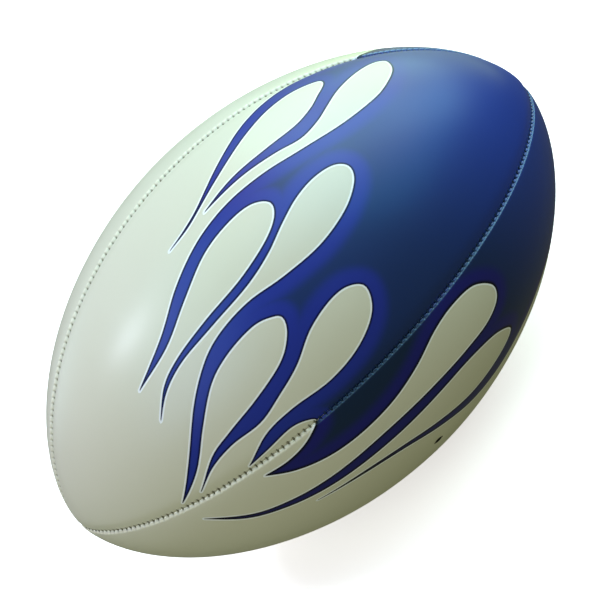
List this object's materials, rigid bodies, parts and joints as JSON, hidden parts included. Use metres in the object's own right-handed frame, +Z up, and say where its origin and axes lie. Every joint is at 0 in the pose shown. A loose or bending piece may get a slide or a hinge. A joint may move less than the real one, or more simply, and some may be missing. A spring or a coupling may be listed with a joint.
{
  "type": "rugby ball",
  "caption": "Full-size inflated rugby ball: stitched cover panels on fabric backing plies, butyl bladder and needle valve.",
  "frame": {"origin": "centre of the ball", "axes": "+X along the long axis, towards the printed end; +Z up through one seam; -Y through the seam that faces the front"},
  "size_m": [0.2898, 0.1854, 0.1854],
  "materials": {
    "cover": "satin white vinyl with a printed blue flame pattern at one end",
    "backing_fabric": "woven cotton-polyester backing",
    "thread": "waxed polyester thread",
    "bladder_rubber": "matte black butyl",
    "valve_rubber": "matte black moulded rubber"
  },
  "bodies": {
    "root": {"cover_panel_1": "cover", "cover_panel_2": "cover", "cover_panel_3": "cover", "cover_panel_4": "cover", "backing_ply_outer_1": "backing_fabric", "backing_ply_outer_2": "backing_fabric", "backing_ply_outer_3": "backing_fabric", "backing_ply_outer_4": "backing_fabric", "backing_ply_inner_1": "backing_fabric", "backing_ply_inner_2": "backing_fabric", "backing_ply_inner_3": "backing_fabric", "backing_ply_inner_4": "backing_fabric", "seam_thread_1": "thread", "seam_thread_2": "thread", "seam_thread_3": "thread", "seam_thread_4": "thread", "closing_thread": "thread", "bladder": "bladder_rubber", "bladder_valve_patch": "bladder_rubber", "valve_backing_patch": "backing_fabric", "valve_housing": "valve_rubber", "valve_core": "valve_rubber"}
  },
  "joints": []
}
